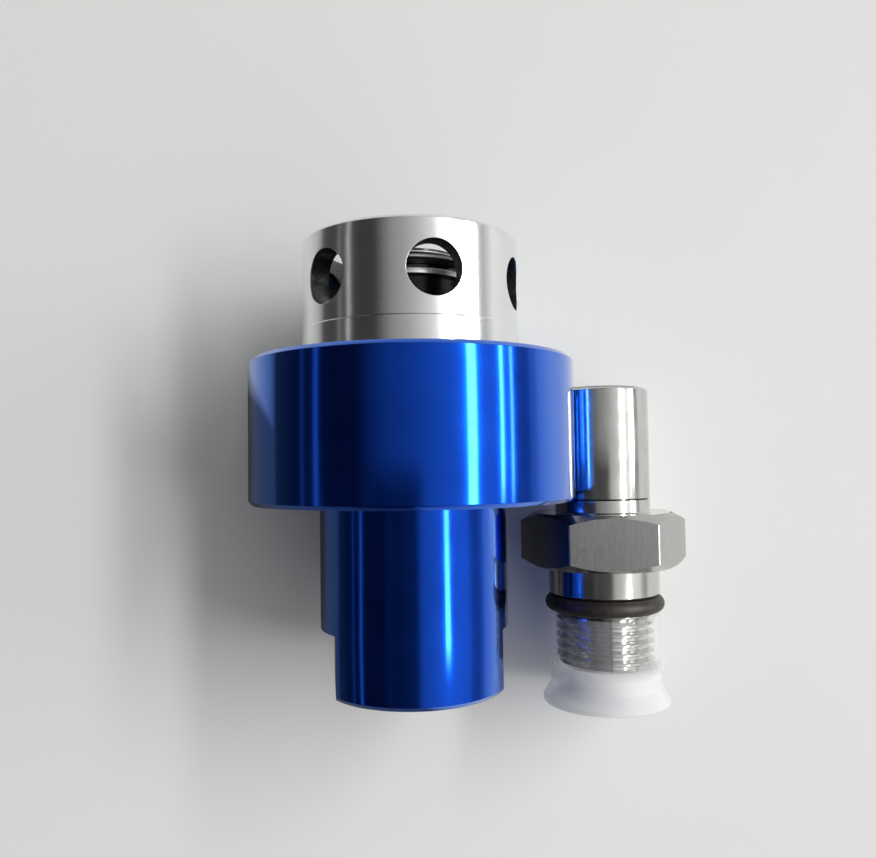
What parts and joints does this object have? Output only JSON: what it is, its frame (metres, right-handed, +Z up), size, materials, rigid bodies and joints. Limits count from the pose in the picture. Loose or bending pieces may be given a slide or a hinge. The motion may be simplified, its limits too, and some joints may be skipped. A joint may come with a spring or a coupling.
{
  "type": "hydraulic rotary union",
  "caption": "Bearingless coolant rotary union in two halves: flanged housing with vented cage and sprung floating seal, and a threaded hexagon rotor with its thread cap.",
  "frame": {"origin": "on the housing's axis, at the flange's mounting face", "axes": "+Y along the housing's axis towards the mouth that takes the rotor, +Z up with the housing lying on its flange rim, the rotor beside it at +X"},
  "size_m": [0.0699, 0.0743, 0.05],
  "materials": {
    "blue_anodised": "turned, bright dipped and anodised deep blue",
    "machined_aluminium": "finely turned and clear anodised, satin",
    "polished_stainless": "ground and polished stainless steel",
    "turned_stainless": "turned and polished stainless steel with fine tool lines",
    "dark_band": "dark oxidised steel with fine turned grooves",
    "spring_steel": "bright drawn spring steel",
    "seal_carbide": "lapped silicon carbide, dark grey and faintly glossy",
    "o_ring_rubber": "dark brown fluorocarbon rubber, satin",
    "bearing_plastic": "filled fluoropolymer, off-white and waxy",
    "milky_plastic": "natural polyethylene, milky and translucent"
  },
  "bodies": {
    "housing": {"housing_body": "blue_anodised", "vent_cage": "machined_aluminium", "cage_o_ring": "o_ring_rubber", "retaining_ring": "spring_steel", "guide_bush": "bearing_plastic", "secondary_o_ring": "o_ring_rubber", "backup_ring": "bearing_plastic", "spring_seat_ring": "polished_stainless", "anti_rotation_pins": "polished_stainless", "spring_1": "spring_steel", "spring_2": "spring_steel", "spring_3": "spring_steel", "spring_4": "spring_steel", "spring_5": "spring_steel", "spring_6": "spring_steel"},
    "carrier": {"seal_carrier": "polished_stainless", "seal_ring_band": "dark_band", "stator_seal_ring": "seal_carbide"},
    "rotor": {"rotor_body": "turned_stainless", "rotor_seal_ring": "seal_carbide", "rotor_o_ring": "o_ring_rubber"},
    "cap": {"thread_cap": "milky_plastic"}
  },
  "joints": [
    {"name": "carrier_slide", "type": "slide", "parent": "housing", "child": "carrier", "axis": [0, -1, 0], "range_m": [0, 0.005], "stiffness_N_per_m": 7000, "springref_m": -0.002, "deforming": ["spring_1", "spring_2", "spring_3", "spring_4", "spring_5", "spring_6"]},
    {"name": "rotor_spin", "type": "hinge", "parent": "housing", "child": "rotor", "pos_m": [0.03101, -0.0244, -0.013], "axis": [0, 1, 0], "continuous": true},
    {"name": "cap_pull", "type": "slide", "parent": "rotor", "child": "cap", "axis": [0, -1, 0], "range_m": [0, 0.012]}
  ]
}
